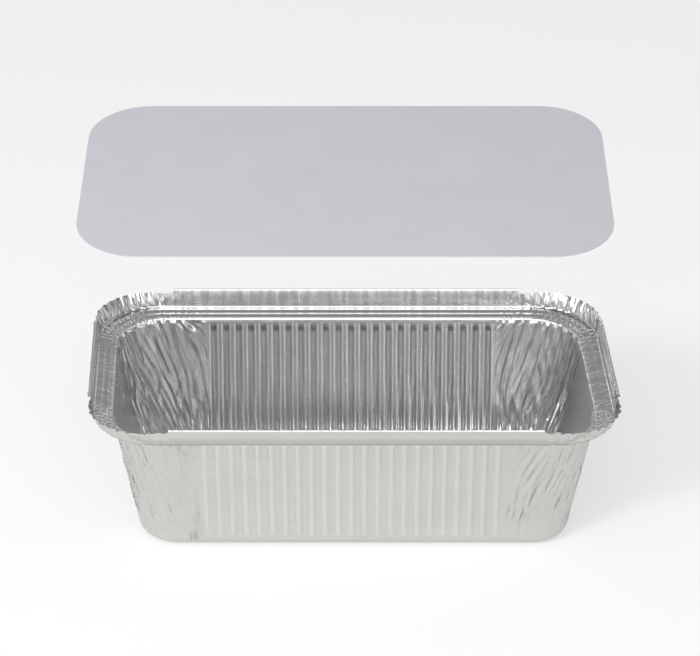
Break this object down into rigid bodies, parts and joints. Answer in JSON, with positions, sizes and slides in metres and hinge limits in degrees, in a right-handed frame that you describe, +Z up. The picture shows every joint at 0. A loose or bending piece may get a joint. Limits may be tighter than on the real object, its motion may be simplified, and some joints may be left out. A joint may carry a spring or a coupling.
{
  "type": "foil food container",
  "caption": "Rectangular pressed foil food tray with fluted long walls, pleated corners and a rolled rim, with its flat board lid held above it.",
  "frame": {"origin": "on the table under the middle of the tray", "axes": "+X along the long side, +Y towards the back, +Z up out of the tray's mouth"},
  "size_m": [0.2, 0.11, 0.1442],
  "materials": {
    "foil": "bright rolled foil with fine rolling lines, crinkled at the corners",
    "board": "smooth coated board, plain"
  },
  "bodies": {
    "root": {"foil_tray": "foil", "board_lid": "board"}
  },
  "joints": []
}
